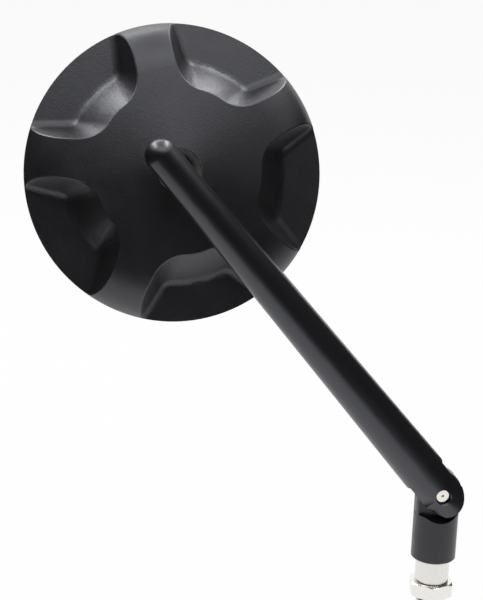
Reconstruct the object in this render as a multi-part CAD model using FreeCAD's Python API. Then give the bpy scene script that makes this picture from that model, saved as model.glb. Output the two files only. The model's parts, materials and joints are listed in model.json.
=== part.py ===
import FreeCAD, Part
import math
import os

# Round motorcycle mirror: a scalloped billet head on a ball joint, a tapered arm
# that folds on a fork hinge, and a stem on a threaded stud with a jam nut.
# Millimetres and degrees. The origin is on the stud's axis at the nut's seat, +Z
# runs up the stem, the hinge pin lies along Y and the back of the head faces -Y.

# Mounting stud, adapter and jam nut
STUD_DIAMETER = 10.0
STUD_LENGTH = 22.0
STUD_POINT = 1.0
STUD_PITCH_DIAMETER = 9.2
SHANK_DIAMETER = 11.8
SHANK_LENGTH = 9.0
SHANK_EDGE = 0.5
SPIGOT_DIAMETER = 8.0
SPIGOT_LENGTH = 12.0
NUT_ACROSS_FLATS = 14.0
NUT_HEIGHT = 5.0
NUT_FACE_DIAMETER = 14.4
NUT_CHAMFER_ANGLE = 30.0
NUT_MOUTH = 0.5
NUT_CORNER_AZIMUTH = -99.4

# Stem: a round post that ends in a full-width tongue between the arm's ears
STEM_DIAMETER = 15.5
STEM_LENGTH = 25.0
STEM_EDGE = 0.4
TONGUE_THICKNESS = 6.0
TONGUE_SETBACK = 0.15
SHOULDER_CLEARANCE = 0.2
SCOOP_CLEARANCE = 1.8
SPIGOT_END_GAP = 0.6

# Arm: a tapered rod with a fork at its foot and a round tip
ARM_LEAN = 40.2
ARM_FOOT_RADIUS = 7.9
ARM_TIP_RADIUS = 5.27
ARM_LENGTH = 152.2
TIP_TO_STUD = 11.6
SLOT_END_CLEARANCE = 0.8
FOOT_FLAT_DISTANCE = 6.7
FOOT_FLAT_ANGLE = 28.0

# Hinge pieces, stacked along the pin
PIVOT_SHOULDER_DIAMETER = 6.0
PIVOT_TIP_DIAMETER = 5.0
PIVOT_TIP_RECESS = 1.6
PIVOT_TIP_EDGE = 0.3
PIVOT_CENTRE_MARK = 0.5
PIVOT_HEAD_DIAMETER = 8.4
PIVOT_HEAD_HEIGHT = 1.8
PIVOT_HEAD_EDGE = 0.3
PIVOT_KEY = 3.0
PIVOT_KEY_DEPTH = 1.2
PIVOT_MOUTH = 0.6
EAR_WEB = 1.4
SPRING_WASHER_THICKNESS = 0.4
SPRING_WASHER_DIAMETER = 8.2
COUNTERBORE_DIAMETER = 9.0
BUSH_WALL = 1.0
FRICTION_WASHER_DIAMETER = 13.0
FRICTION_WASHER_THICKNESS = 0.5

# Head: a domed billet disc with scalloped pockets round its back
HEAD_DIAMETER = 100.0
HEAD_PITCH = 13.7
HUB_RISE = 7.0
DOME_CONE_DROP = 3.9
DOME_SHOULDER_WIDTH = 16.2
DOME_BULGE_INSET = 3.3
RIM_EDGE_HEIGHT = 0.8
RIM_DEPTH = 7.2
RIM_CHAMFER = 0.8
RIM_LIP = 2.5
RIM_LIP_EDGE = 0.4
HUB_HOLE_DIAMETER = 14.2
HUB_HOLE_DEPTH = 1.4
HUB_HOLE_EDGE = 0.3
OUTLINE_EDGE = 0.3

# Pockets: floors that fall toward the rim, drafted side walls and a flatter inner wall
POCKET_COUNT = 5
POCKET_PHASE = 65.7
POCKET_LENGTH = 12.1
POCKET_APEX_OFFSET = 12.6
POCKET_SPLAY = 45.7
POCKET_DRAFT = 24.0
POCKET_INNER_DRAFT = 36.0
POCKET_CORNER_RADIUS = 3.2
POCKET_CORNER_GROWTH = 0.65
POCKET_FLOOR_SLOPE = 7.5
POCKET_FLOOR_DROP = 0.4
POCKET_FLOOR_FILLET = 3.8
POCKET_CUT_MARGIN = 3.0
POCKET_CUT_DEPTH = 1.5
POCKET_REACH = 25.0

# Ball joint
BALL_DIAMETER = 12.0
BALL_HEIGHT = 10.0
BALL_STANDOFF = 19.0
NECK_DIAMETER = 5.5
COLLAR_ACROSS_FLATS = 8.0
COLLAR_THICKNESS = 1.6
SPOT_FACE_DIAMETER = 10.0
SPOT_FACE_DEPTH = 0.6
BALL_THREAD_DIAMETER = 6.0
BALL_THREAD_LENGTH = 7.4
BALL_THREAD_END_GAP = 0.3
SEAT_THICKNESS = 1.4
BACK_SEAT_START = 58.0
BACK_SEAT_END = 80.0
SOCKET_MOUTH = 52.0
FRONT_SEAT_START = 102.0
FRONT_SEAT_FLOOR = 1.7
FRONT_SEAT_WALL = 1.95
SPRING_THICKNESS = 0.8
SPRING_HEIGHT = 1.15
SPRING_BORE = 6.0
SPRING_MARGIN = 0.6
PLATE_DIAMETER = 30.0
PLATE_THICKNESS = 3.0
SCREW_COUNT = 3
SCREW_EDGE_DISTANCE = 4.0
SCREW_PHASE = 90.0
SCREW_DIAMETER = 3.0
SCREW_HEAD_DIAMETER = 5.5
SCREW_LENGTH = 8.0
SCREW_KEY = 2.0
SCREW_KEY_DEPTH = 1.2
SCREW_HOLE_END_GAP = 0.5

# Glass and its foam pad
GLASS_THICKNESS = 2.0
GLASS_GAP = 0.25
GLASS_EDGE = 0.3
GLASS_SETBACK = 0.8
PAD_THICKNESS = 1.0
PAD_MARGIN = 1.0

# Clearances, radial or face to face
THREAD_CLEARANCE = 0.05
RUNNING_CLEARANCE = 0.05
BALL_CLEARANCE = 0.12
SEATING_CLEARANCE = 0.02

# Sizes and places worked out from those above
PIN_HEIGHT = NUT_HEIGHT + SHANK_LENGTH + STEM_LENGTH
STEM_RADIUS = STEM_DIAMETER / 2
TONGUE_RADIUS = STEM_RADIUS - TONGUE_SETBACK
SHOULDER_DROP = ARM_FOOT_RADIUS + SHOULDER_CLEARANCE
SCOOP_RADIUS = ARM_FOOT_RADIUS + SCOOP_CLEARANCE
SLOT_HALF = TONGUE_THICKNESS / 2 + FRICTION_WASHER_THICKNESS + RUNNING_CLEARANCE
SLOT_END = TONGUE_RADIUS + SLOT_END_CLEARANCE
PIN_TO_STUD = ARM_LENGTH - TIP_TO_STUD
TAPER = math.atan((ARM_FOOT_RADIUS - ARM_TIP_RADIUS) / ARM_LENGTH)
ARM_RADIUS_AT_STUD = ARM_FOOT_RADIUS - PIN_TO_STUD * math.tan(TAPER)
SPOT_FACE_LEVEL = ARM_RADIUS_AT_STUD - SPOT_FACE_DEPTH
BUSH_DIAMETER = PIVOT_SHOULDER_DIAMETER + 2 * (RUNNING_CLEARANCE + BUSH_WALL)
HEAD_RADIUS = HEAD_DIAMETER / 2
HUB_RADIUS = HUB_HOLE_DIAMETER / 2
DOME_HEIGHT = BALL_HEIGHT + HUB_RISE
DOME_CONE_RADIUS = HEAD_RADIUS - DOME_SHOULDER_WIDTH
DOME_CONE_HEIGHT = DOME_HEIGHT - DOME_CONE_DROP
DOME_SLOPE = DOME_CONE_DROP / (DOME_CONE_RADIUS - HUB_RADIUS)
DOME_BULGE_RADIUS = HEAD_RADIUS - DOME_BULGE_INSET
DOME_BULGE_HEIGHT = DOME_CONE_HEIGHT - DOME_SLOPE * (DOME_BULGE_RADIUS - DOME_CONE_RADIUS)
POCKET_INNER_RADIUS = HEAD_RADIUS - POCKET_LENGTH
POCKET_APEX = POCKET_INNER_RADIUS - POCKET_APEX_OFFSET
POCKET_CUT_HEIGHT = DOME_HEIGHT + POCKET_CUT_MARGIN
BALL_RADIUS = BALL_DIAMETER / 2
SEAT_INNER = BALL_RADIUS + BALL_CLEARANCE
SEAT_OUTER = SEAT_INNER + SEAT_THICKNESS
SOCKET_RADIUS = SEAT_OUTER + BALL_CLEARANCE
FRONT_SEAT_RADIUS = SEAT_INNER + FRONT_SEAT_WALL
FRONT_SEAT_BOTTOM = BALL_HEIGHT - SEAT_INNER - FRONT_SEAT_FLOOR
SPRING_TOP = FRONT_SEAT_BOTTOM - RUNNING_CLEARANCE
PLATE_TOP = SPRING_TOP - SPRING_HEIGHT
PLATE_RADIUS = PLATE_DIAMETER / 2
PLATE_FACE = PLATE_TOP - PLATE_THICKNESS
SCREW_RADIUS = PLATE_RADIUS - SCREW_EDGE_DISTANCE
RECESS_RADIUS = HEAD_RADIUS - RIM_LIP
GLASS_RADIUS = RECESS_RADIUS - GLASS_GAP
GLASS_EDGE_LEVEL = GLASS_SETBACK - RIM_DEPTH
RECESS_FLOOR = GLASS_EDGE_LEVEL + GLASS_THICKNESS + PAD_THICKNESS

ORIGIN = FreeCAD.Vector(0, 0, 0)
X_AXIS = FreeCAD.Vector(1, 0, 0)
Y_AXIS = FreeCAD.Vector(0, 1, 0)
Z_AXIS = FreeCAD.Vector(0, 0, 1)


def section(radius, height):
    """A point of a turned profile, in the XZ plane."""
    return FreeCAD.Vector(radius, 0, height)


def line(start, end):
    """A straight edge."""
    return Part.LineSegment(start, end).toShape()


def arc(start, middle, end):
    """A round edge through three points."""
    return Part.Arc(start, middle, end).toShape()


def polar(radius, angle, height=0.0):
    """A point on a ball about (0, height), by its angle from the +Z pole."""
    turn = math.radians(angle)
    return section(radius * math.sin(turn), height + radius * math.cos(turn))


def turned(edges):
    """A solid of revolution about Z, from a closed chain of edges."""
    face = Part.Face(Part.Wire(edges))
    return face.revolve(ORIGIN, Z_AXIS, 360)


def turned_points(points):
    """A solid of revolution about Z, from (radius, height) corners."""
    corners = [section(radius, height) for radius, height in points]
    return turned([line(a, b) for a, b in zip(corners, corners[1:] + corners[:1])])


def cylinder(radius, low, high):
    """A cylinder on the Z axis between two heights."""
    return Part.makeCylinder(radius, high - low, section(0, low))


def ring(inner, outer, low, high):
    """A plain ring on the Z axis."""
    return turned_points([(inner, low), (outer, low), (outer, high), (inner, high)])


def hexagon(across_flats, low, high, corner_azimuth=0.0):
    """A hexagonal prism on the Z axis, with one corner at the given azimuth."""
    reach = across_flats / math.sqrt(3)
    corners = []
    for k in range(7):
        turn = math.radians(corner_azimuth + 60 * k)
        corners.append(FreeCAD.Vector(reach * math.cos(turn), reach * math.sin(turn), low))
    return Part.Face(Part.makePolygon(corners)).extrude(Z_AXIS * (high - low))


def on_pin(shape):
    """Put a piece that was turned about Z on the hinge pin, its +Z to the rear."""
    shape.rotate(ORIGIN, X_AXIS, -90)
    shape.translate(section(0, PIN_HEIGHT))
    return shape


def on_arm(shape):
    """Put a piece drawn with the arm upright at the pin into its leaning place."""
    shape.rotate(ORIGIN, Y_AXIS, -ARM_LEAN)
    shape.translate(section(0, PIN_HEIGHT))
    return shape


def on_ball_stud(shape):
    """Put a piece turned about Z, with the arm's axis at zero, on the ball stud."""
    shape.rotate(ORIGIN, X_AXIS, -90)
    shape.translate(section(0, PIN_TO_STUD))
    return on_arm(shape)


def on_head(shape):
    """Put a piece drawn on the head's axis, rim plane at zero, into its place."""
    lean = math.radians(ARM_LEAN)
    foot_to_stud = section(-PIN_TO_STUD * math.sin(lean), PIN_TO_STUD * math.cos(lean))
    shape.translate(section(0, -BALL_HEIGHT))
    shape.rotate(ORIGIN, X_AXIS, 90 - HEAD_PITCH)
    shape.translate(section(0, PIN_HEIGHT) + foot_to_stud + Y_AXIS * BALL_STANDOFF)
    return shape


def jam_nut():
    """Hexagon nut, chamfered to its corners at both ends."""
    corner = NUT_ACROSS_FLATS / math.sqrt(3)
    face = NUT_FACE_DIAMETER / 2
    cut = (corner - face) * math.tan(math.radians(NUT_CHAMFER_ANGLE))
    bore = STUD_PITCH_DIAMETER / 2 + THREAD_CLEARANCE
    envelope = turned_points([
        (bore + NUT_MOUTH, 0), (face, 0), (corner, cut), (corner, NUT_HEIGHT - cut),
        (face, NUT_HEIGHT), (bore + NUT_MOUTH, NUT_HEIGHT), (bore, NUT_HEIGHT - NUT_MOUTH),
        (bore, NUT_MOUTH),
    ])
    return hexagon(NUT_ACROSS_FLATS, 0, NUT_HEIGHT, NUT_CORNER_AZIMUTH).common(envelope)


def mount_adapter():
    """Stud, drawn to its pitch line inside the nut, plain shank and the stem's spigot."""
    stud = STUD_DIAMETER / 2
    engaged = STUD_PITCH_DIAMETER / 2
    shank = SHANK_DIAMETER / 2
    spigot = SPIGOT_DIAMETER / 2
    shank_top = NUT_HEIGHT + SHANK_LENGTH
    return turned_points([
        (0, -STUD_LENGTH), (stud - STUD_POINT, -STUD_LENGTH), (stud, STUD_POINT - STUD_LENGTH),
        (stud, 0), (engaged, 0), (engaged, NUT_HEIGHT), (shank - SHANK_EDGE, NUT_HEIGHT),
        (shank, NUT_HEIGHT + SHANK_EDGE), (shank, shank_top), (spigot, shank_top),
        (spigot, shank_top + SPIGOT_LENGTH), (0, shank_top + SPIGOT_LENGTH),
    ])


def stem():
    """Round post with a scooped shoulder and a tongue with a round top."""
    foot = NUT_HEIGHT + SHANK_LENGTH
    shoulder = PIN_HEIGHT - SHOULDER_DROP
    post = turned_points([
        (0, foot), (STEM_RADIUS - STEM_EDGE, foot), (STEM_RADIUS, foot + STEM_EDGE),
        (STEM_RADIUS, shoulder), (0, shoulder),
    ])
    post = post.cut(on_pin(cylinder(SCOOP_RADIUS, -STEM_DIAMETER, STEM_DIAMETER)))
    half = TONGUE_THICKNESS / 2
    slab_foot = PIN_HEIGHT - SCOOP_RADIUS - half
    corner = FreeCAD.Vector(-TONGUE_RADIUS, -half, slab_foot)
    slab = Part.makeBox(2 * TONGUE_RADIUS, 2 * half, PIN_HEIGHT - slab_foot, corner)
    slab = slab.fuse(on_pin(cylinder(TONGUE_RADIUS, -half, half)))
    tongue = slab.common(cylinder(STEM_RADIUS, foot, PIN_HEIGHT + STEM_RADIUS))
    body = post.fuse(tongue).removeSplitter()
    bush_bore = BUSH_DIAMETER / 2 + SEATING_CLEARANCE
    body = body.cut(on_pin(cylinder(bush_bore, -STEM_RADIUS, STEM_RADIUS)))
    spigot_bore = SPIGOT_DIAMETER / 2 + THREAD_CLEARANCE
    return body.cut(cylinder(spigot_bore, foot, foot + SPIGOT_LENGTH + SPIGOT_END_GAP))


def pivot_bush():
    """Plain bearing in the tongue."""
    bore = PIVOT_SHOULDER_DIAMETER / 2 + RUNNING_CLEARANCE
    return on_pin(ring(bore, BUSH_DIAMETER / 2, -TONGUE_THICKNESS / 2, TONGUE_THICKNESS / 2))


def friction_washer(side):
    """Washer between the tongue and one ear; side is -1 in front, 1 at the rear."""
    bore = PIVOT_SHOULDER_DIAMETER / 2 + RUNNING_CLEARANCE
    faces = [side * TONGUE_THICKNESS / 2]
    faces.append(faces[0] + side * FRICTION_WASHER_THICKNESS)
    return on_pin(ring(bore, FRICTION_WASHER_DIAMETER / 2, min(faces), max(faces)))


def pivot_stack():
    """Faces along the pin: rear ear's web, spring washer, head and tip."""
    web = SLOT_HALF + EAR_WEB
    under_head = web + SPRING_WASHER_THICKNESS
    return web, under_head, under_head + PIVOT_HEAD_HEIGHT, PIVOT_TIP_RECESS - ARM_FOOT_RADIUS


def pivot_screw():
    """Shoulder screw: low socket head at the rear, threaded tip in the front ear."""
    _, under_head, top, tip = pivot_stack()
    head = PIVOT_HEAD_DIAMETER / 2
    shoulder = PIVOT_SHOULDER_DIAMETER / 2
    end = PIVOT_TIP_DIAMETER / 2
    shoulder_end = SEATING_CLEARANCE - SLOT_HALF
    body = turned_points([
        (0, tip + PIVOT_CENTRE_MARK), (PIVOT_CENTRE_MARK, tip), (end - PIVOT_TIP_EDGE, tip),
        (end, tip + PIVOT_TIP_EDGE), (end, shoulder_end), (shoulder, shoulder_end),
        (shoulder, under_head), (head, under_head), (head, top - PIVOT_HEAD_EDGE),
        (head - PIVOT_HEAD_EDGE, top), (0, top),
    ])
    return on_pin(body.cut(hexagon(PIVOT_KEY, top - PIVOT_KEY_DEPTH, top)))


def pivot_spring_washer():
    """Spring washer under the screw's head."""
    web, under_head, _, _ = pivot_stack()
    bore = PIVOT_SHOULDER_DIAMETER / 2 + RUNNING_CLEARANCE
    return on_pin(ring(bore, SPRING_WASHER_DIAMETER / 2, web, under_head))


def arm():
    """Tapered rod: round tip, forked foot, pivot holes and the ball stud's hole."""
    drop = math.tan(TAPER)
    foot = -2 * ARM_FOOT_RADIUS
    shoulder = section(ARM_TIP_RADIUS * math.cos(TAPER), ARM_LENGTH + ARM_TIP_RADIUS * math.sin(TAPER))
    top = section(0, ARM_LENGTH + ARM_TIP_RADIUS)
    round_start = math.degrees(TAPER)
    middle = polar(ARM_TIP_RADIUS, (90 - round_start) / 2, ARM_LENGTH)
    wide = section(shoulder.x + (shoulder.z - foot) * drop, foot)
    axis_foot = section(0, foot)
    body = turned([line(axis_foot, wide), line(wide, shoulder), arc(shoulder, middle, top),
                   line(top, axis_foot)])
    body = body.cut(foot_trim())
    slot_corner = FreeCAD.Vector(-2 * ARM_FOOT_RADIUS, -SLOT_HALF, foot)
    body = body.cut(Part.makeBox(4 * ARM_FOOT_RADIUS, 2 * SLOT_HALF, SLOT_END - foot, slot_corner))
    for hole in pivot_holes() + ball_stud_holes():
        body = body.cut(hole)
    return on_arm(body)


def foot_trim():
    """What is cut off the foot: all beyond the round nose, and the slanting flat."""
    reach = 3 * ARM_FOOT_RADIUS
    below = Part.makeBox(2 * reach, 2 * reach, reach, FreeCAD.Vector(-reach, -reach, -reach))
    nose = cylinder(ARM_FOOT_RADIUS, -reach, reach)
    nose.rotate(ORIGIN, X_AXIS, -90)
    flat = Part.makeBox(reach, 2 * reach, 2 * reach, FreeCAD.Vector(FOOT_FLAT_DISTANCE, -reach, -reach))
    flat.rotate(ORIGIN, Y_AXIS, 180 - FOOT_FLAT_ANGLE)
    return below.cut(nose).fuse(flat)


def pivot_holes():
    """Cutters for the ears, drawn with the arm upright at the pin."""
    web, _, _, _ = pivot_stack()
    tip_bore = PIVOT_TIP_DIAMETER / 2 + THREAD_CLEARANCE
    shoulder_bore = PIVOT_SHOULDER_DIAMETER / 2 + RUNNING_CLEARANCE
    outside = 1.5 * ARM_FOOT_RADIUS
    mouth = tip_bore + PIVOT_MOUTH
    mouth_level = PIVOT_MOUTH - ARM_FOOT_RADIUS
    front = turned_points([
        (0, 0), (0, -outside), (mouth, -outside), (mouth, -ARM_FOOT_RADIUS),
        (tip_bore, mouth_level), (tip_bore, 0),
    ])
    rear = cylinder(shoulder_bore, 0, outside)
    counterbore = cylinder(COUNTERBORE_DIAMETER / 2, web, outside)
    holes = [front, rear, counterbore]
    for hole in holes:
        hole.rotate(ORIGIN, X_AXIS, -90)
    return holes


def ball_stud_holes():
    """Cutters for the stud's tapped hole and the flat that its collar seats on."""
    bore = BALL_THREAD_DIAMETER / 2 + THREAD_CLEARANCE
    bottom = SPOT_FACE_LEVEL - BALL_THREAD_LENGTH - BALL_THREAD_END_GAP
    holes = [
        cylinder(bore, bottom, ARM_FOOT_RADIUS),
        cylinder(SPOT_FACE_DIAMETER / 2, SPOT_FACE_LEVEL, ARM_FOOT_RADIUS),
    ]
    for hole in holes:
        hole.rotate(ORIGIN, X_AXIS, -90)
        hole.translate(section(0, PIN_TO_STUD))
    return holes


def ball_stud():
    """Ball, neck, hexagon collar and the thread that holds it in the arm."""
    thread = cylinder(BALL_THREAD_DIAMETER / 2, SPOT_FACE_LEVEL - BALL_THREAD_LENGTH, SPOT_FACE_LEVEL)
    collar = hexagon(COLLAR_ACROSS_FLATS, SPOT_FACE_LEVEL, SPOT_FACE_LEVEL + COLLAR_THICKNESS)
    neck = cylinder(NECK_DIAMETER / 2, SPOT_FACE_LEVEL, BALL_STANDOFF)
    ball = Part.makeSphere(BALL_RADIUS, section(0, BALL_STANDOFF))
    return on_ball_stud(thread.fuse([collar, neck, ball]).removeSplitter())


def back_ball_seat():
    """Ring of the ball's liner on the hub side, round inside and out."""
    middle = (BACK_SEAT_START + BACK_SEAT_END) / 2
    inner = [polar(SEAT_INNER, angle, BALL_HEIGHT) for angle in (BACK_SEAT_START, middle, BACK_SEAT_END)]
    outer = [polar(SEAT_OUTER, angle, BALL_HEIGHT) for angle in (BACK_SEAT_END, middle, BACK_SEAT_START)]
    return on_head(turned([arc(*inner), line(inner[2], outer[0]), arc(*outer), line(outer[2], inner[0])]))


def front_ball_seat():
    """Cup under the ball on the glass side."""
    lip = polar(SEAT_INNER, FRONT_SEAT_START, BALL_HEIGHT)
    middle = polar(SEAT_INNER, (FRONT_SEAT_START + 180) / 2, BALL_HEIGHT)
    pole = polar(SEAT_INNER, 180, BALL_HEIGHT)
    pole.x = 0
    bottom = section(0, FRONT_SEAT_BOTTOM)
    low = section(FRONT_SEAT_RADIUS, FRONT_SEAT_BOTTOM)
    high = section(FRONT_SEAT_RADIUS, lip.z)
    return on_head(turned([arc(lip, middle, pole), line(pole, bottom), line(bottom, low),
                           line(low, high), line(high, lip)]))


def pressure_spring():
    """Dished disc spring that presses the front seat on the ball."""
    inner = SPRING_BORE / 2
    outer = FRONT_SEAT_RADIUS - SPRING_MARGIN
    return on_head(turned_points([
        (outer, PLATE_TOP), (outer, PLATE_TOP + SPRING_THICKNESS), (inner, SPRING_TOP),
        (inner, SPRING_TOP - SPRING_THICKNESS),
    ]))


def screw_places():
    """Angles of the retainer's screws about the head's axis."""
    return [SCREW_PHASE + 360 * k / SCREW_COUNT for k in range(SCREW_COUNT)]


def screw_at(angle, clearance, end):
    """A countersunk screw, or with clearance the cutter for its hole."""
    shank = SCREW_DIAMETER / 2 + clearance
    head = SCREW_HEAD_DIAMETER / 2 + clearance
    shape = turned_points([
        (0, PLATE_FACE), (head, PLATE_FACE), (shank, PLATE_FACE + head - shank), (shank, end), (0, end),
    ])
    shape.translate(section(SCREW_RADIUS, 0))
    shape.rotate(ORIGIN, Z_AXIS, angle)
    return shape


def retainer_plate():
    """Round plate that closes the socket, with countersunk holes."""
    plate = cylinder(PLATE_RADIUS, PLATE_FACE, PLATE_TOP)
    for angle in screw_places():
        plate = plate.cut(screw_at(angle, THREAD_CLEARANCE, PLATE_TOP))
    return on_head(plate)


def retainer_screws():
    """Countersunk screws with hexagon sockets, as one group."""
    screws = []
    for angle in screw_places():
        key = hexagon(SCREW_KEY, PLATE_FACE, PLATE_FACE + SCREW_KEY_DEPTH)
        key.translate(section(SCREW_RADIUS, 0))
        key.rotate(ORIGIN, Z_AXIS, angle)
        screws.append(screw_at(angle, 0, PLATE_FACE + SCREW_LENGTH).cut(key))
    return on_head(Part.makeCompound(screws))


def pocket_outline(height):
    """Outline of a pocket's drafted walls at a height above the rim plane."""
    spread = height * math.tan(math.radians(POCKET_DRAFT))
    radius = POCKET_CORNER_RADIUS + height * POCKET_CORNER_GROWTH
    inner_radius = POCKET_INNER_RADIUS - height * math.tan(math.radians(POCKET_INNER_DRAFT))
    splay = math.radians(POCKET_SPLAY)
    along = FreeCAD.Vector(math.cos(splay), math.sin(splay), 0)
    outward = FreeCAD.Vector(-math.sin(splay), math.cos(splay), 0)
    start = POCKET_APEX + (radius - spread) / math.sin(splay)
    reach = inner_radius + radius
    run = math.sqrt(reach ** 2 - (start * math.sin(splay)) ** 2) - start * math.cos(splay)
    centre = X_AXIS * start + along * run
    to_hub = centre * (-1 / centre.Length)
    bisector = (to_hub + outward).normalize()
    on_inner = centre + to_hub * radius
    on_corner = centre + bisector * radius
    on_side = centre + outward * radius
    end = on_side + along * ((HEAD_RADIUS + POCKET_REACH - on_side.x) / along.x)
    upper = [on_inner, on_corner, on_side, end]
    lower = [FreeCAD.Vector(p.x, -p.y, 0) for p in upper]
    inner = X_AXIS * inner_radius
    edges = [
        line(lower[3], lower[2]), arc(lower[2], lower[1], lower[0]), arc(lower[0], inner, upper[0]),
        arc(upper[0], upper[1], upper[2]), line(upper[2], upper[3]), line(upper[3], lower[3]),
    ]
    wire = Part.Wire(edges)
    wire.translate(section(0, height))
    return wire


def pocket_cutter():
    """Solid that cuts one pocket: drafted walls with a radius to the sloping floor."""
    block = Part.makeLoft([pocket_outline(-POCKET_CUT_DEPTH), pocket_outline(POCKET_CUT_HEIGHT)], True, True)
    rim_point = section(HEAD_RADIUS, -POCKET_FLOOR_DROP)
    below = Part.makeBox(2 * HEAD_DIAMETER, 2 * HEAD_DIAMETER, HEAD_DIAMETER,
                         rim_point - FreeCAD.Vector(HEAD_DIAMETER, HEAD_DIAMETER, HEAD_DIAMETER))
    below.rotate(rim_point, Y_AXIS, POCKET_FLOOR_SLOPE)
    block = block.cut(below)
    slope = math.radians(POCKET_FLOOR_SLOPE)
    upward = section(math.sin(slope), math.cos(slope))
    floor_edges = []
    for edge in block.Edges:
        middle = edge.valueAt((edge.FirstParameter + edge.LastParameter) / 2)
        points = [vertex.Point for vertex in edge.Vertexes] + [middle]
        on_floor = max(abs((point - rim_point).dot(upward)) for point in points) < SEATING_CLEARANCE
        if on_floor and edge.BoundBox.XMin < HEAD_RADIUS:
            floor_edges.append(edge)
    return block.makeFillet(POCKET_FLOOR_FILLET, floor_edges)


def head_blank():
    """Turned billet: dome, rim, glass recess, socket and hub hole."""
    hub = section(HUB_RADIUS, DOME_HEIGHT)
    hub_top = section(HUB_RADIUS + HUB_HOLE_EDGE, DOME_HEIGHT - HUB_HOLE_EDGE * DOME_SLOPE)
    hub_edge = hub - Z_AXIS * HUB_HOLE_EDGE
    hub_step = hub - Z_AXIS * HUB_HOLE_DEPTH
    cone_end = section(DOME_CONE_RADIUS, DOME_CONE_HEIGHT)
    bulge = section(DOME_BULGE_RADIUS, DOME_BULGE_HEIGHT)
    rim_top = section(HEAD_RADIUS, RIM_EDGE_HEIGHT)
    curve = Part.BezierCurve()
    curve.setPoles([cone_end, bulge, rim_top])
    rim_side = section(HEAD_RADIUS, RIM_CHAMFER - RIM_DEPTH)
    rim_front = section(HEAD_RADIUS - RIM_CHAMFER, -RIM_DEPTH)
    cup_bore = FRONT_SEAT_RADIUS + RUNNING_CLEARANCE
    plate_bore = PLATE_RADIUS + RUNNING_CLEARANCE
    inside = [
        rim_front, section(RECESS_RADIUS + RIM_LIP_EDGE, -RIM_DEPTH),
        section(RECESS_RADIUS, RIM_LIP_EDGE - RIM_DEPTH), section(RECESS_RADIUS, RECESS_FLOOR),
        section(plate_bore, RECESS_FLOOR), section(plate_bore, PLATE_TOP), section(cup_bore, PLATE_TOP),
        section(cup_bore, BALL_HEIGHT), section(SOCKET_RADIUS, BALL_HEIGHT),
    ]
    mouth = polar(SOCKET_RADIUS, SOCKET_MOUTH, BALL_HEIGHT)
    socket_middle = polar(SOCKET_RADIUS, (SOCKET_MOUTH + 90) / 2, BALL_HEIGHT)
    edges = [line(hub_edge, hub_top), line(hub_top, cone_end), curve.toShape(), line(rim_top, rim_side),
             line(rim_side, rim_front)]
    edges += [line(a, b) for a, b in zip(inside, inside[1:])]
    edges += [arc(inside[-1], socket_middle, mouth), line(mouth, hub_step), line(hub_step, hub_edge)]
    return turned(edges)


def outline_edges(body, blank):
    """Edges where the pockets' walls run out on the dome, which the blank doesn't have."""
    skin = blank.Shells[0]
    old_edges = Part.makeCompound(blank.Edges)
    found = []
    for edge in body.Edges:
        middle = edge.valueAt((edge.FirstParameter + edge.LastParameter) / 2)
        probe = Part.Vertex(middle)
        on_dome = middle.z > RIM_EDGE_HEIGHT and skin.distToShape(probe)[0] < SEATING_CLEARANCE
        if on_dome and old_edges.distToShape(probe)[0] > SEATING_CLEARANCE:
            found.append(edge)
    return found


def head_housing():
    """Billet head: the turned blank with its pockets and tapped holes."""
    blank = head_blank()
    blank.rotate(ORIGIN, Z_AXIS, POCKET_PHASE + 180 / POCKET_COUNT)
    body = blank
    cutter = pocket_cutter()
    for k in range(POCKET_COUNT):
        pocket = cutter.copy()
        pocket.rotate(ORIGIN, Z_AXIS, POCKET_PHASE + 360 * k / POCKET_COUNT)
        body = body.cut(pocket)
    body = body.makeChamfer(OUTLINE_EDGE, outline_edges(body, blank))
    hole_end = PLATE_FACE + SCREW_LENGTH + SCREW_HOLE_END_GAP
    for angle in screw_places():
        body = body.cut(screw_at(angle, THREAD_CLEARANCE, hole_end))
    return on_head(body)


def mirror_glass():
    """Flat round glass with a ground edge."""
    back = GLASS_EDGE_LEVEL + GLASS_THICKNESS
    return on_head(turned_points([
        (0, GLASS_EDGE_LEVEL), (GLASS_RADIUS - GLASS_EDGE, GLASS_EDGE_LEVEL),
        (GLASS_RADIUS, GLASS_EDGE_LEVEL + GLASS_EDGE), (GLASS_RADIUS, back), (0, back),
    ]))


def glass_pad():
    """Foam ring between the glass and the recess floor."""
    inner = PLATE_RADIUS + PAD_MARGIN
    outer = GLASS_RADIUS - PAD_MARGIN
    return on_head(ring(inner, outer, GLASS_EDGE_LEVEL + GLASS_THICKNESS, RECESS_FLOOR))


PIECES = {
    "jam_nut": jam_nut(),
    "mount_adapter": mount_adapter(),
    "stem": stem(),
    "pivot_bush": pivot_bush(),
    "front_friction_washer": friction_washer(-1),
    "rear_friction_washer": friction_washer(1),
    "pivot_screw": pivot_screw(),
    "pivot_spring_washer": pivot_spring_washer(),
    "arm": arm(),
    "ball_stud": ball_stud(),
    "back_ball_seat": back_ball_seat(),
    "front_ball_seat": front_ball_seat(),
    "pressure_spring": pressure_spring(),
    "retainer_plate": retainer_plate(),
    "retainer_screws": retainer_screws(),
    "head_housing": head_housing(),
    "glass_pad": glass_pad(),
    "mirror_glass": mirror_glass(),
}

os.makedirs("parts", exist_ok=True)
for node, shape in PIECES.items():
    shape.exportStep(f"parts/{node}.step")
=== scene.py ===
"""Round motorcycle mirror: its finished pieces, their materials and a plain studio."""
import json
import math

import bmesh
import bpy
from mathutils import Matrix, Vector


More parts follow.
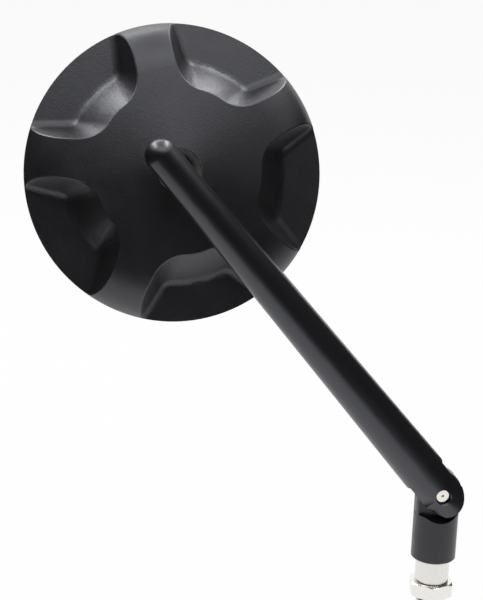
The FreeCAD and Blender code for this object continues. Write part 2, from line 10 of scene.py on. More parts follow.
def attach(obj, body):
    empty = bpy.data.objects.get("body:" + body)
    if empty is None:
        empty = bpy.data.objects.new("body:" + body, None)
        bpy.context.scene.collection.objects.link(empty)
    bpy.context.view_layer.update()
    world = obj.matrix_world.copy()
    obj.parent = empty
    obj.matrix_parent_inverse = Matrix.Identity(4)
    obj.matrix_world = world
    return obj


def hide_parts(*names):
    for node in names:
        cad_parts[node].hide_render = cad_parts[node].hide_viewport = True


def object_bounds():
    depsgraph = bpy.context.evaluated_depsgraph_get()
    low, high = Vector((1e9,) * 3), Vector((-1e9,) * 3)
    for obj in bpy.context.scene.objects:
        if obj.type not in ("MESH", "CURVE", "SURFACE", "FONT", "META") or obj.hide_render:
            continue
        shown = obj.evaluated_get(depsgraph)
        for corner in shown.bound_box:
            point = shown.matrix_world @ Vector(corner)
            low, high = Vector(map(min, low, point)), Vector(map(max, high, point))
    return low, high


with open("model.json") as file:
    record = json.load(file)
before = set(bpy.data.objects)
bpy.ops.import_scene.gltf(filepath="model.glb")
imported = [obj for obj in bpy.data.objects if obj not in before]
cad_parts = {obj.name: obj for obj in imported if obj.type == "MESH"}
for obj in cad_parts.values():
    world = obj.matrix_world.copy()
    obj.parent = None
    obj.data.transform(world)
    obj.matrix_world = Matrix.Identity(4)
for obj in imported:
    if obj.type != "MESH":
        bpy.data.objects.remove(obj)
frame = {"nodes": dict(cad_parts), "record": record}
CAD_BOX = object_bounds()

bl_info = {
    "name": "Motorcycle Mirror",
    "version": (1, 0, 0),
    "blender": (4, 5, 0),
    "location": "View3D > Sidebar > Mirror",
    "description": "Builds a round billet mirror on a folding arm around its packed frame",
    "category": "Mesh",
}

MM = 0.001
MERGE_DISTANCE = 0.002 * MM
CUT_DISTANCE = MERGE_DISTANCE / 10

# Steps in a full turn of the round pieces
RING_STEPS = 96
FOAM_STEPS = 128
GLASS_STEPS = 192
THREAD_STEPS = 48

# Steps along a cloth's curve, and squares along a side of the floor
CLOTH_STEPS = 24
FLOOR_SEGMENTS = 8

# Turns of thread that are wound beyond the stud's end and then cut off
SPARE_TURNS = 1.5

# Faces that meet at less than this many degrees are shaded as one surface
SMOOTH_BELOW = 22
NUT_SMOOTH_BELOW = 25

# Weighted normals that follow only the largest faces, so that flat walls stay flat
WALL_WEIGHT = 100
WALL_THRESHOLD = 0.0001

# Sockets of a Mix node that mixes colours
MIX_FACTOR, MIX_FIRST, MIX_SECOND, MIX_RESULT = 0, 6, 7, 2

WHITE = (1, 1, 1, 1)
COOL_SHEEN = (0.90, 0.91, 1.0, 1.0)

# Nearest distance that the camera sees
CLIP_START = 0.01

# Places of the moving joints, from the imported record
JOINTS = {joint["name"]: joint for joint in frame["record"]["behaviour"]["joints"]}
PIN = Vector(JOINTS["arm_fold"]["pos_m"])
BALL = Vector(JOINTS["head_spin"]["pos_m"])
HEAD_AXIS = Vector(JOINTS["head_spin"]["axis"])
HEAD_PITCH = math.asin(HEAD_AXIS.z)

# Each frame's own Z axis runs along the axis of the pieces that are turned about it
QUARTER_TURN = math.radians(90)
STUD_FRAME = Matrix.Identity(4)
PIN_FRAME = Matrix.Translation(PIN) @ Matrix.Rotation(-QUARTER_TURN, 4, "X")
BALL_FRAME = Matrix.Translation(BALL) @ Matrix.Rotation(-QUARTER_TURN, 4, "X")
HEAD_FRAME = Matrix.Translation(BALL) @ Matrix.Rotation(QUARTER_TURN - HEAD_PITCH, 4, "X")


def length(name, description, millimetres):
    """A property that holds a length, given in millimetres."""
    return bpy.props.FloatProperty(name=name, description=description, default=millimetres * MM,
                                   unit="LENGTH", precision=5)


def angle(name, description, degrees):
    """A property that holds an angle, given in degrees."""
    return bpy.props.FloatProperty(name=name, description=description, default=math.radians(degrees),
                                   subtype="ANGLE")


def share(name, description, value):
    """A property that holds a share from 0 to 1."""
    return bpy.props.FloatProperty(name=name, description=description, default=value,
                                   subtype="FACTOR", min=0.0, max=1.0)


def colour(name, description, red, green, blue):
    """A property that holds a surface colour."""
    return bpy.props.FloatVectorProperty(name=name, description=description, default=(red, green, blue),
                                         subtype="COLOR", min=0.0, max=1.0)


class MirrorFinishes(bpy.types.PropertyGroup):
    """Colours of the mirror's finishes."""
    billet: colour("Billet", "Blasted black anodise of the head", 0.009, 0.009, 0.010)
    arm: colour("Arm", "Polished black anodise of the arm", 0.008, 0.008, 0.009)
    stem: colour("Stem", "Satin black anodise of the stem", 0.012, 0.012, 0.013)
    steel: colour("Steel", "Turned steel of the nut", 0.86, 0.84, 0.82)
    shank: colour("Shank", "Turned steel of the adapter", 0.80, 0.78, 0.74)
    # Painted shade: share of its colour that the thread keeps at the bottom of its grooves
    painted_groove_shade: share("Groove shade", "Share of its colour that the shadowed bottom of the thread keeps", 0.12)
    pin: colour("Pin", "Ground steel of the screws, the ball and the springs", 0.92, 0.87, 0.78)
    bronze: colour("Bronze", "Bearing bronze of the bush", 0.55, 0.36, 0.17)
    lining: colour("Lining", "Filled polymer of the friction washers", 0.05, 0.05, 0.05)
    acetal: colour("Acetal", "Plastic of the ball seats", 0.04, 0.04, 0.04)
    alloy: colour("Alloy", "Bare alloy of the retainer plate", 0.70, 0.70, 0.71)
    foam: colour("Foam", "Foam tape behind the glass", 0.03, 0.03, 0.03)
    silver: colour("Silver", "Silvering of the glass", 0.80, 0.84, 0.85)


class MirrorTurned(bpy.types.PropertyGroup):
    """Sizes of the pieces that are turned: the adapter with its thread, the rings and the glass."""
    shank_radius: length("Shank radius", "Radius of the bright shank above the nut", 5.9)
    shank_top: length("Shank top", "Height of the shank's end under the stem", 14)
    shank_edge: length("Shank edge", "Chamfer at the ends of the shank and its spigot", 0.5)
    spigot_radius: length("Spigot radius", "Radius of the spigot inside the stem", 4)
    nut_top: length("Nut top", "Height of the jam nut", 5)
    neck_radius: length("Neck radius", "Radius of the stud inside the nut", 4.6)
    thread_crest: length("Thread crest", "Outer radius of the thread", 5)
    # How far below the crest the thread stays free of the painted groove shade
    thread_unshaded: length("Thread clean", "Depth below the crest that stays free of oil", 0.1)
    thread_root: length("Thread root", "Inner radius of the thread", 4.233)
    thread_pitch: length("Thread pitch", "Rise of the thread in one turn", 1.25)
    thread_point: length("Thread point", "Chamfer at the stud's end", 1)
    thread_top: length("Thread top", "Height at which the thread ends inside the nut", 0.1)
    bush_edge: length("Bush edge", "Chamfer at the ends of the bush", 0.2)
    lining_edge: length("Lining edge", "Chamfer round the friction washers", 0.05)
    foam_edge: length("Foam edge", "Chamfer round the foam ring", 0.1)
    glass_edge: length("Glass edge", "Ground bevel round the face of the glass", 0.6)


class MirrorStage(bpy.types.PropertyGroup):
    """Camera, surround, floor and cloths of the studio."""
    azimuth: angle("Azimuth", "Turn of the camera about the stem", -9.311)
    elevation: angle("Elevation", "Height of the camera above the horizon", 15.5)
    roll: angle("Roll", "Turn of the camera about its own axis", 1.993)
    distance: length("Distance", "From the aim point to the camera", 489.4)
    lens: bpy.props.FloatProperty(name="Lens", description="Focal length in millimetres", default=90.0)
    aim: bpy.props.FloatVectorProperty(name="Aim", description="Point in the middle of the picture",
                                       default=(-0.071027, 0.0, 0.10757), subtype="TRANSLATION")
    fill: share("Fill", "Even light from the surround on all sides", 0.04)
    floor_size: length("Floor", "Width of the floor", 16000)
    paper: share("Paper", "Tone of the floor's paper", 0.85)
    paper_white: share("Paper white", "Share of the floor that shows as pure white", 0.95)
    cloth: share("Cloth", "Tone of the dark cloths round the mirror", 0.05)


def new_node(tree, kind, inputs=None, **settings):
    """Add a node, with its settings and the values of its unlinked inputs."""
    node = tree.nodes.new(kind)
    for name, value in settings.items():
        setattr(node, name, value)
    for name, value in (inputs or {}).items():
        node.inputs[name].default_value = value
    return node


def maths(tree, operation, first, second):
    """A Math node of two inputs, each a number or a socket."""
    node = new_node(tree, "ShaderNodeMath", operation=operation)
    for socket, value in zip(node.inputs, (first, second)):
        if isinstance(value, bpy.types.NodeSocket):
            tree.links.new(value, socket)
        else:
            socket.default_value = value
    return node.outputs[0]


def new_group(name, size, outputs):
    """An empty shader node group that takes a vector and the marks' size, and puts out numbers."""
    group = bpy.data.node_groups.new(name, "ShaderNodeTree")
    group.interface.new_socket("Vector", in_out="INPUT", socket_type="NodeSocketVector")
    group.interface.new_socket("Size", in_out="INPUT", socket_type="NodeSocketFloat").default_value = size
    for socket in outputs:
        group.interface.new_socket(socket, in_out="OUTPUT", socket_type="NodeSocketFloat")
    return group, group.nodes.new("NodeGroupInput"), group.nodes.new("NodeGroupOutput")


def grain_group():
    """Fine blasted or moulded grain: a height for bump, and a tone that speckles and slowly drifts."""
    group, source, result = new_group("Fine grain", 0.3 * MM, ["Height", "Tone"])
    fine = new_node(group, "ShaderNodeTexNoise", {"Detail": 2.0, "Roughness": 0.6})
    slow = new_node(group, "ShaderNodeTexNoise", {"Scale": 90.0, "Detail": 4.0, "Roughness": 0.55})
    for noise in (fine, slow):
        group.links.new(source.outputs["Vector"], noise.inputs["Vector"])
    group.links.new(maths(group, "DIVIDE", 1.0, source.outputs["Size"]), fine.inputs["Scale"])
    group.links.new(fine.outputs["Fac"], result.inputs["Height"])
    total = maths(group, "ADD", fine.outputs["Fac"], slow.outputs["Fac"])
    mean = maths(group, "MULTIPLY", total, 0.5)
    group.links.new(mean, result.inputs["Tone"])
    return group


def turning_group():
    """Rings left by a lathe about the vector's Z axis: a height for bump, their tone and the radius."""
    group, source, result = new_group("Turning marks", 0.2 * MM, ["Height", "Tone", "Radius"])
    split = new_node(group, "ShaderNodeSeparateXYZ")
    group.links.new(source.outputs["Vector"], split.inputs[0])
    across = maths(group, "MULTIPLY", split.outputs["X"], split.outputs["X"])
    deep = maths(group, "MULTIPLY", split.outputs["Y"], split.outputs["Y"])
    radius = maths(group, "SQRT", maths(group, "ADD", across, deep), 0.0)
    joined = new_node(group, "ShaderNodeCombineXYZ")
    group.links.new(radius, joined.inputs["X"])
    group.links.new(split.outputs["Z"], joined.inputs["Y"])
    rings = new_node(group, "ShaderNodeTexNoise", {"Detail": 3.0, "Roughness": 0.7}, noise_dimensions="2D")
    group.links.new(joined.outputs[0], rings.inputs["Vector"])
    group.links.new(maths(group, "DIVIDE", 1.0, source.outputs["Size"]), rings.inputs["Scale"])
    for output in ("Height", "Tone"):
        group.links.new(rings.outputs["Fac"], result.inputs[output])
    group.links.new(radius, result.inputs["Radius"])
    return group


def groove_shaded(tree, unshaded, radius, size, kept):
    """A colour socket darkened by painted shade from the thread's crest down to its root."""
    depth = new_node(tree, "ShaderNodeMapRange", {
        "From Min": size.thread_root, "From Max": size.thread_crest - size.thread_unshaded,
        "To Min": kept, "To Max": 1.0})
    tree.links.new(radius, depth.inputs["Value"])
    shade = new_node(tree, "ShaderNodeMix", data_type="RGBA", blend_type="MULTIPLY")
    shade.inputs[MIX_FACTOR].default_value = 1.0
    tree.links.new(unshaded, shade.inputs[MIX_FIRST])
    tree.links.new(depth.outputs["Result"], shade.inputs[MIX_SECOND])
    return shade.outputs[MIX_RESULT]


def finish(name, pattern, tint, size, tone, roughness, bump=0.0, depth=0.0, axis_frame=STUD_FRAME, painted_groove_shade=None,
           **uniform):
    """Make a material whose grain or turning marks vary its colour, roughness and relief.

    size is the marks' size in millimetres, tone the share by which the colour changes, roughness
    its two limits, bump the relief's strength and depth its depth in millimetres. painted_groove_shade,
    where it is given, holds the thread's sizes and the share of colour that painted shade leaves at its
    root.
    """
    material = bpy.data.materials.new(name)
    material.use_nodes = True
    tree = material.node_tree
    shader = tree.nodes["Principled BSDF"]
    for socket, value in uniform.items():
        shader.inputs[socket.replace("_", " ")].default_value = value

    place = new_node(tree, "ShaderNodeTexCoord")
    turn = axis_frame.inverted()
    mapping = new_node(tree, "ShaderNodeMapping",
                       {"Location": turn.to_translation(), "Rotation": turn.to_euler("XYZ")})
    marks = new_node(tree, "ShaderNodeGroup", node_tree=pattern)
    marks.inputs["Size"].default_value = size * MM
    tree.links.new(place.outputs["Object"], mapping.inputs["Vector"])
    tree.links.new(mapping.outputs["Vector"], marks.inputs["Vector"])

    ramp = new_node(tree, "ShaderNodeMix", data_type="RGBA")
    for socket, level in ((MIX_FIRST, 1 - tone), (MIX_SECOND, 1 + tone)):
        ramp.inputs[socket].default_value = (*(channel * level for channel in tint), 1.0)
    tree.links.new(marks.outputs["Tone"], ramp.inputs[MIX_FACTOR])
    base = ramp.outputs[MIX_RESULT]
    # Painted shade darkens the thread's colour from its crest to its root
    if painted_groove_shade:
        base = groove_shaded(tree, base, marks.outputs["Radius"], *painted_groove_shade)
    tree.links.new(base, shader.inputs["Base Color"])

    spread = new_node(tree, "ShaderNodeMapRange", {"To Min": roughness[0], "To Max": roughness[1]})
    tree.links.new(marks.outputs["Tone"], spread.inputs["Value"])
    tree.links.new(spread.outputs["Result"], shader.inputs["Roughness"])
    if bump:
        relief = new_node(tree, "ShaderNodeBump", {"Strength": bump, "Distance": depth * MM})
        tree.links.new(marks.outputs["Height"], relief.inputs["Height"])
        tree.links.new(relief.outputs["Normal"], shader.inputs["Normal"])


def make_finishes():
    """Build every material of the mirror."""
    tint = bpy.context.scene.mirror_finishes
    grain, turning = grain_group(), turning_group()
    finish("blasted_billet", grain, tint.billet, size=0.5, tone=0.30, roughness=(0.22, 0.58), bump=1.0,
           depth=0.055, Specular_IOR_Level=0.9, Specular_Tint=COOL_SHEEN)
    finish("polished_arm", grain, tint.arm, size=0.5, tone=0.10, roughness=(0.26, 0.38), bump=0.06,
           depth=0.02, Specular_IOR_Level=1.0, Specular_Tint=COOL_SHEEN)
    finish("satin_stem", grain, tint.stem, size=0.3, tone=0.20, roughness=(0.24, 0.42), bump=0.12,
           depth=0.02, Specular_IOR_Level=0.7, Specular_Tint=COOL_SHEEN)
    finish("turned_steel", turning, tint.steel, size=0.25, tone=0.06, roughness=(0.20, 0.32), bump=0.15,
           depth=0.02, Metallic=1.0)
    # The adapter's thread gets painted shade in its grooves
    finish("threaded_steel", turning, tint.shank, size=0.25, tone=0.06, roughness=(0.20, 0.32), bump=0.15,
           depth=0.02, painted_groove_shade=(bpy.context.scene.mirror_turned, tint.painted_groove_shade), Metallic=1.0)
    finish("ground_pin", turning, tint.pin, size=0.2, tone=0.08, roughness=(0.16, 0.26), bump=0.05,
           depth=0.01, axis_frame=PIN_FRAME, Metallic=1.0)
    finish("ball_steel", turning, tint.pin, size=0.2, tone=0.05, roughness=(0.15, 0.22), bump=0.05,
           depth=0.01, axis_frame=BALL_FRAME, Metallic=1.0)
    finish("bearing_bronze", turning, tint.bronze, size=0.25, tone=0.10, roughness=(0.30, 0.42), bump=0.10,
           depth=0.02, axis_frame=PIN_FRAME, Metallic=1.0)
    finish("friction_lining", grain, tint.lining, size=0.15, tone=0.25, roughness=(0.70, 0.85), bump=0.3,
           depth=0.02)
    finish("acetal_seat", grain, tint.acetal, size=0.4, tone=0.04, roughness=(0.35, 0.42), bump=0.05,
           depth=0.01)
    finish("machined_alloy", turning, tint.alloy, size=0.3, tone=0.06, roughness=(0.28, 0.38), bump=0.2,
           depth=0.02, axis_frame=HEAD_FRAME, Metallic=1.0)
    finish("foam_tape", grain, tint.foam, size=0.5, tone=0.30, roughness=(0.85, 0.95), bump=0.5, depth=0.1)
    finish("silvered_glass", grain, tint.silver, size=3.0, tone=0.01, roughness=(0.0, 0.02),
           Metallic=1.0, Coat_Weight=1.0, Coat_Roughness=0.0)


def new_object(name, bm, material):
    """Turn a bmesh into an object of one material, and free it."""
    mesh = bpy.data.meshes.new(name)
    bm.to_mesh(mesh)
    bm.free()
    mesh.materials.append(material)
    made = bpy.data.objects.new(name, mesh)
    bpy.context.scene.collection.objects.link(made)
    return made


def show(name, bm, material, body, node, smooth_below=SMOOTH_BELOW):
    """Make a piece of a bmesh, smooth but for its sharp edges, in place of a node."""
    for face in bm.faces:
        face.smooth = True
    for edge in bm.edges:
        edge.smooth = len(edge.link_faces) == 2 and edge.calc_face_angle() < math.radians(smooth_below)
    # The first piece makes the materials of all
    if material not in bpy.data.materials:
        make_finishes()
    piece = new_object(name, bm, bpy.data.materials[material])
    normals = piece.modifiers.new("flat_walls", "WEIGHTED_NORMAL")
    normals.keep_sharp = True
    normals.mode = "FACE_AREA"
    normals.weight = WALL_WEIGHT
    normals.thresh = WALL_THRESHOLD
    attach(piece, body)
    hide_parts(node)


def merged_copy(node):
    """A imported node's shape as one joined bmesh."""
    bm = bmesh.new()
    bm.from_mesh(frame["nodes"][node].data)
    bmesh.ops.remove_doubles(bm, verts=bm.verts, dist=MERGE_DISTANCE)
    return bm


def show_copy(name, node, material, body, smooth_below=SMOOTH_BELOW):
    """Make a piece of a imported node's own shape."""
    show(name, merged_copy(node), material, body, node, smooth_below)


def span(node, axis_frame):
    """A packed round node's lower and upper height along an axis, and its inner and outer radius."""
    turn = axis_frame.inverted()
    places = [turn @ vert.co for vert in frame["nodes"][node].data.vertices]
    heights = [place.z for place in places]
    radii = [place.xy.length for place in places]
    return min(heights), max(heights), min(radii), max(radii)


def turned(profile, axis_frame, steps=RING_STEPS, closed=True):
    """Spin a profile of radius and height points about an axis into one piece."""
    bm = bmesh.new()
    points = [bm.verts.new((radius, 0, height)) for radius, height in profile]
    ends = points[1:] + points[:1] if closed else points[1:]
    edges = [bm.edges.new(pair) for pair in zip(points, ends)]
    bmesh.ops.spin(bm, geom=points + edges, cent=(0, 0, 0), axis=(0, 0, 1), angle=math.tau, steps=steps,
                   use_merge=True)
    bmesh.ops.remove_doubles(bm, verts=bm.verts, dist=MERGE_DISTANCE)
    bmesh.ops.recalc_face_normals(bm, faces=bm.faces)
    bmesh.ops.transform(bm, matrix=axis_frame, space=Matrix.Identity(4), verts=bm.verts)
    return bm


def turned_ring(node, axis_frame, edge, steps=RING_STEPS):
    """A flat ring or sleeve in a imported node's place, with its edges broken."""
    low, high, inner, outer = span(node, axis_frame)
    return turned([(inner + edge, low), (outer - edge, low), (outer, low + edge), (outer, high - edge),
                   (outer - edge, high), (inner + edge, high), (inner, high - edge), (inner, low + edge)],
                  axis_frame, steps)


def add_thread(bm, size, low):
    """Wind one rib about Z into a thread, cut it to length, close its ends and give it a point."""
    crest, root, pitch, high = size.thread_crest, size.thread_root, size.thread_pitch, size.thread_top
    # Flats and flanks of a standard metric thread
    root_flat, crest_flat = pitch / 4, pitch / 8
    flank = (pitch - root_flat - crest_flat) / 2
    rib = ((root, 0), (root, root_flat), (crest, root_flat + flank), (crest, pitch - flank), (root, pitch))
    start = low - SPARE_TURNS * pitch
    turns = math.ceil((high - start) / pitch)

    thread = bmesh.new()
    points = [thread.verts.new((radius, 0, start + height)) for radius, height in rib]
    edges = [thread.edges.new(pair) for pair in zip(points, points[1:])]
    bmesh.ops.spin(thread, geom=points + edges, cent=(0, 0, 0), axis=(0, 0, 1),
                   dvec=(0, 0, pitch / THREAD_STEPS), angle=turns * math.tau, steps=turns * THREAD_STEPS)
    bmesh.ops.remove_doubles(thread, verts=thread.verts, dist=MERGE_DISTANCE)
    for level, side in ((low, -1), (high, 1)):
        bmesh.ops.bisect_plane(thread, geom=thread.verts[:] + thread.edges[:] + thread.faces[:],
                               dist=CUT_DISTANCE, plane_co=(0, 0, level), plane_no=(0, 0, side),
                               clear_outer=True)
    # The point is a cone of 45 degrees
    for vert in thread.verts:
        limit = crest - size.thread_point + vert.co.z - low
        if vert.co.xy.length > limit:
            vert.co.xy *= limit / vert.co.xy.length
    bmesh.ops.holes_fill(thread, edges=thread.edges)
    bmesh.ops.recalc_face_normals(thread, faces=thread.faces)

    mesh = bpy.data.meshes.new("thread")
    thread.to_mesh(mesh)
    thread.free()
    bm.from_mesh(mesh)
    bpy.data.meshes.remove(mesh)


class MIRROR_OT_head(bpy.types.Operator):
    """Build the scalloped billet head"""
    bl_idname = "mirror.head"
    bl_label = "Billet head"

    def execute(self, context):
        show_copy("billet_head", "head_housing", "blasted_billet", "head")
        return {"FINISHED"}


class MIRROR_OT_arm(bpy.types.Operator):
    """Build the tapered folding arm"""
    bl_idname = "mirror.arm"
    bl_label = "Tapered arm"

    def execute(self, context):
        show_copy("tapered_arm", "arm", "polished_arm", "arm")
        return {"FINISHED"}


class MIRROR_OT_stem(bpy.types.Operator):
    """Build the stem with its hinge tongue"""
    bl_idname = "mirror.stem"
    bl_label = "Hinge stem"

    def execute(self, context):
        show_copy("hinge_stem", "stem", "satin_stem", "stem")
        return {"FINISHED"}


class MIRROR_OT_mount(bpy.types.Operator):
    """Build the jam nut and the threaded adapter"""
    bl_idname = "mirror.mount"
    bl_label = "Nut and adapter"

    def execute(self, context):
        show_copy("hex_jam_nut", "jam_nut", "turned_steel", "stem", NUT_SMOOTH_BELOW)
        size = context.scene.mirror_turned
        shank, spigot, neck, edge = size.shank_radius, size.spigot_radius, size.neck_radius, size.shank_edge
        low, top, _, _ = span("mount_adapter", STUD_FRAME)
        adapter = turned([(0, top), (spigot - edge, top), (spigot, top - edge), (spigot, size.shank_top),
                          (shank - edge, size.shank_top), (shank, size.shank_top - edge),
                          (shank, size.nut_top + edge), (shank - edge, size.nut_top),
                          (neck, size.nut_top), (neck, 0), (0, 0)], STUD_FRAME, closed=False)
        add_thread(adapter, size, low)
        show("threaded_adapter", adapter, "threaded_steel", "stem", "mount_adapter")
        return {"FINISHED"}


class MIRROR_OT_hinge(bpy.types.Operator):
    """Build the hinge's screw, bush and washers"""
    bl_idname = "mirror.hinge"
    bl_label = "Hinge pieces"

    def execute(self, context):
        size = context.scene.mirror_turned
        show_copy("hinge_screw", "pivot_screw", "ground_pin", "arm")
        show_copy("spring_washer", "pivot_spring_washer", "ground_pin", "arm")
        bush = turned_ring("pivot_bush", PIN_FRAME, size.bush_edge)
        show("bronze_bush", bush, "bearing_bronze", "stem", "pivot_bush")
        for side in ("front", "rear"):
            node = f"{side}_friction_washer"
            washer = turned_ring(node, PIN_FRAME, size.lining_edge)
            show(f"{side}_lining", washer, "friction_lining", "stem", node)
        return {"FINISHED"}


class MIRROR_OT_ball_joint(bpy.types.Operator):
    """Build the ball stud, its seats, spring, plate and screws"""
    bl_idname = "mirror.ball_joint"
    bl_label = "Ball joint"

    def execute(self, context):
        show_copy("ball_and_neck", "ball_stud", "ball_steel", "arm")
        show_copy("back_seat", "back_ball_seat", "acetal_seat", "tilt_seat")
        show_copy("front_seat", "front_ball_seat", "acetal_seat", "swing_seat")
        show_copy("disc_spring", "pressure_spring", "ball_steel", "head")
        show_copy("closing_plate", "retainer_plate", "machined_alloy", "head")
        show_copy("plate_screws", "retainer_screws", "ball_steel", "head")
        return {"FINISHED"}


class MIRROR_OT_glass(bpy.types.Operator):
    """Build the silvered glass and its foam"""
    bl_idname = "mirror.glass"
    bl_label = "Glass and foam"

    def execute(self, context):
        size = context.scene.mirror_turned
        edge, back_edge = size.glass_edge, size.glass_edge / 2
        low, high, _, outer = span("mirror_glass", HEAD_FRAME)
        glass = turned([(0, low), (outer - edge, low), (outer, low + edge), (outer, high - back_edge),
                        (outer - back_edge, high), (0, high)], HEAD_FRAME, GLASS_STEPS, closed=False)
        show("round_glass", glass, "silvered_glass", "head", "mirror_glass")
        foam = turned_ring("glass_pad", HEAD_FRAME, size.foam_edge, FOAM_STEPS)
        show("foam_ring", foam, "foam_tape", "head", "glass_pad")
        return {"FINISHED"}


# Each dark cloth's radius about the aim point, the two headings in degrees that it stands between,
# and the height of its top, with lengths in metres
CLOTHS = (
    ("front_cloth", 0.25, -150, -50, 0.335),
    ("left_cloth", 0.20, 118, 210, 0.26),
    ("right_cloth", 0.29, -50, 44, 0.33),
)

# Each soft panel's place from the aim point and its two sides, both in metres, and its radiance
PANELS = (
    ("left_panel", (-0.50, 0.24, 0.75), (0.24, 0.90), 7.5),
    ("right_panel", (0.36, 0.31, 0.75), (0.24, 0.90), 7.5),
    ("front_panel", (0.0, -0.70, 0.75), (1.0, 0.80), 1.05),
    ("back_panel", (-0.16, 0.58, 0.75), (0.44, 0.24), 5.0),
)


def seen_by_camera_or_gloss(tree):
    """A socket that is 1 for rays that the camera, gloss or glass sends out, else 0."""
    path = new_node(tree, "ShaderNodeLightPath")
    mirrored = maths(tree, "MAXIMUM", path.outputs["Is Glossy Ray"], path.outputs["Is Transmission Ray"])
    return maths(tree, "MAXIMUM", path.outputs["Is Camera Ray"], mirrored)


def mix_shaders(tree, factor, first, second, output):
    """Mix two shader nodes by a factor socket into an output node."""
    mix = new_node(tree, "ShaderNodeMixShader")
    for socket, source in zip(mix.inputs, (factor, first.outputs[0], second.outputs[0])):
        tree.links.new(source, socket)
    tree.links.new(mix.outputs[0], tree.nodes[output].inputs["Surface"])


def studio_world(stage):
    """A white surround for the camera and for gloss, and a low even fill for all else."""
    world = bpy.data.worlds.new("studio_surround")
    world.use_nodes = True
    tree = world.node_tree
    fill = tree.nodes["Background"]
    fill.inputs["Color"].default_value = WHITE
    fill.inputs["Strength"].default_value = stage.fill
    white = new_node(tree, "ShaderNodeBackground", {"Color": WHITE, "Strength": 1.0})
    mix_shaders(tree, seen_by_camera_or_gloss(tree), fill, white, "World Output")
    return world


def matt_material(name, tone):
    """A grey material without gloss."""
    material = bpy.data.materials.new(name)
    material.use_nodes = True
    shader = material.node_tree.nodes["Principled BSDF"]
    shader.inputs["Base Color"].default_value = (tone, tone, tone, 1)
    shader.inputs["Roughness"].default_value = 1.0
    shader.inputs["Specular IOR Level"].default_value = 0.0
    return material


def add_floor(stage):
    """Lay paper under the stud's end, which shows as white with a faint shadow left in it."""
    material = matt_material("white_paper", stage.paper)
    tree = material.node_tree
    white = new_node(tree, "ShaderNodeEmission", {"Color": WHITE, "Strength": 1.0})
    factor = maths(tree, "MULTIPLY", seen_by_camera_or_gloss(tree), stage.paper_white)
    mix_shaders(tree, factor, tree.nodes["Principled BSDF"], white, "Material Output")
    bm = bmesh.new()
    bmesh.ops.create_grid(bm, x_segments=FLOOR_SEGMENTS, y_segments=FLOOR_SEGMENTS,
                          size=stage.floor_size / 2)
    bmesh.ops.translate(bm, verts=bm.verts, vec=(0, 0, CAD_BOX[0].z))
    new_object("paper_floor", bm, material)


def add_cloth(name, material, centre, radius, first, last, top):
    """Stand a curved dark cloth on the floor from one heading to another, which only gloss sees."""
    bm = bmesh.new()
    ends = [bm.verts.new((radius, 0, height)) for height in (CAD_BOX[0].z, top)]
    edge = bm.edges.new(ends)
    bmesh.ops.rotate(bm, verts=ends, cent=(0, 0, 0), matrix=Matrix.Rotation(math.radians(first), 3, "Z"))
    bmesh.ops.spin(bm, geom=[*ends, edge], cent=(0, 0, 0), axis=(0, 0, 1),
                   angle=math.radians(last - first), steps=CLOTH_STEPS)
    bmesh.ops.translate(bm, verts=bm.verts, vec=(centre.x, centre.y, 0))
    cloth = new_object(name, bm, material)
    cloth.visible_camera = False
    cloth.visible_shadow = False
    cloth.visible_diffuse = False


def add_panel(name, place, width, depth, radiance):
    """Hang a soft rectangular panel that faces down."""
    lamp = bpy.data.lights.new(name, "AREA")
    lamp.shape = "RECTANGLE"
    lamp.size = width
    lamp.size_y = depth
    # A flat lamp's power is pi times its radiance and area
    lamp.energy = radiance * math.pi * width * depth
    panel = bpy.data.objects.new(name, lamp)
    panel.location = place
    bpy.context.scene.collection.objects.link(panel)


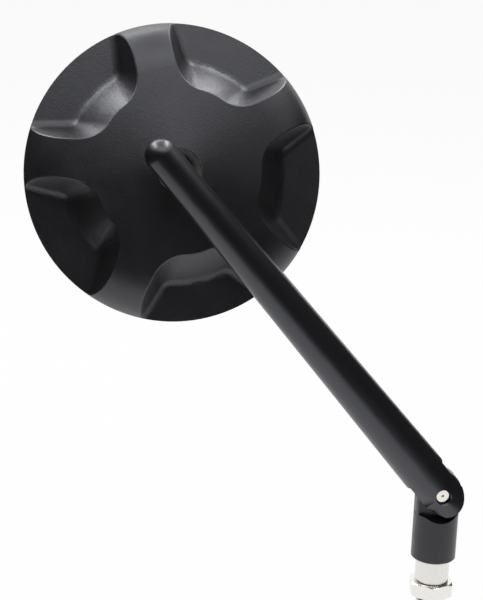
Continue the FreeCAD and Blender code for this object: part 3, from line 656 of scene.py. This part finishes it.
def add_camera(stage):
    """Put the camera at the photograph's angle."""
    turn, rise = stage.azimuth, stage.elevation
    back = Vector((math.sin(turn) * math.cos(rise), -math.cos(turn) * math.cos(rise), math.sin(rise)))
    right = Vector((math.cos(turn), math.sin(turn), 0))
    up = back.cross(right)
    rolled = Matrix((right, up, back)).transposed() @ Matrix.Rotation(stage.roll, 3, "Z")
    data = bpy.data.cameras.new("photo_camera")
    data.lens = stage.lens
    data.clip_start = CLIP_START
    camera = bpy.data.objects.new("photo_camera", data)
    camera.matrix_world = Matrix.Translation(Vector(stage.aim) + back * stage.distance) @ rolled.to_4x4()
    bpy.context.scene.collection.objects.link(camera)
    bpy.context.scene.camera = camera


class MIRROR_OT_stage(bpy.types.Operator):
    """Set up the floor, the soft light and the camera"""
    bl_idname = "mirror.stage"
    bl_label = "Studio"

    def execute(self, context):
        stage = context.scene.mirror_stage
        context.scene.view_settings.view_transform = "Standard"
        context.scene.world = studio_world(stage)
        add_floor(stage)
        aim = Vector(stage.aim)
        material = matt_material("dark_cloth", stage.cloth)
        for name, *measures in CLOTHS:
            add_cloth(name, material, aim, *measures)
        for name, place, sides, radiance in PANELS:
            add_panel(name, aim + Vector(place), *sides, radiance)
        add_camera(stage)
        return {"FINISHED"}


class MIRROR_PT_panel(bpy.types.Panel):
    """Sidebar list of the mirror's pieces"""
    bl_label = "Motorcycle mirror"
    bl_idname = "MIRROR_PT_panel"
    bl_space_type = "VIEW_3D"
    bl_region_type = "UI"
    bl_category = "Mirror"

    def draw(self, context):
        for operator in OPERATORS:
            self.layout.operator(operator.bl_idname)


OPERATORS = (MIRROR_OT_head, MIRROR_OT_arm, MIRROR_OT_stem, MIRROR_OT_mount, MIRROR_OT_hinge,
             MIRROR_OT_ball_joint, MIRROR_OT_glass, MIRROR_OT_stage)
SETTINGS = {"mirror_finishes": MirrorFinishes, "mirror_turned": MirrorTurned, "mirror_stage": MirrorStage}


def register():
    """Register the settings, the operators and the panel."""
    for name, group in SETTINGS.items():
        bpy.utils.register_class(group)
        setattr(bpy.types.Scene, name, bpy.props.PointerProperty(type=group))
    for shown in (*OPERATORS, MIRROR_PT_panel):
        bpy.utils.register_class(shown)


def unregister():
    """Take back what register did."""
    for shown in (*OPERATORS, MIRROR_PT_panel):
        bpy.utils.unregister_class(shown)
    for name, group in SETTINGS.items():
        delattr(bpy.types.Scene, name)
        bpy.utils.unregister_class(group)


def main():
    """Build the mirror and its studio."""
    register()
    for operator in OPERATORS:
        module, name = operator.bl_idname.split(".")
        getattr(getattr(bpy.ops, module), name)()


if __name__ == "__main__":
    main()
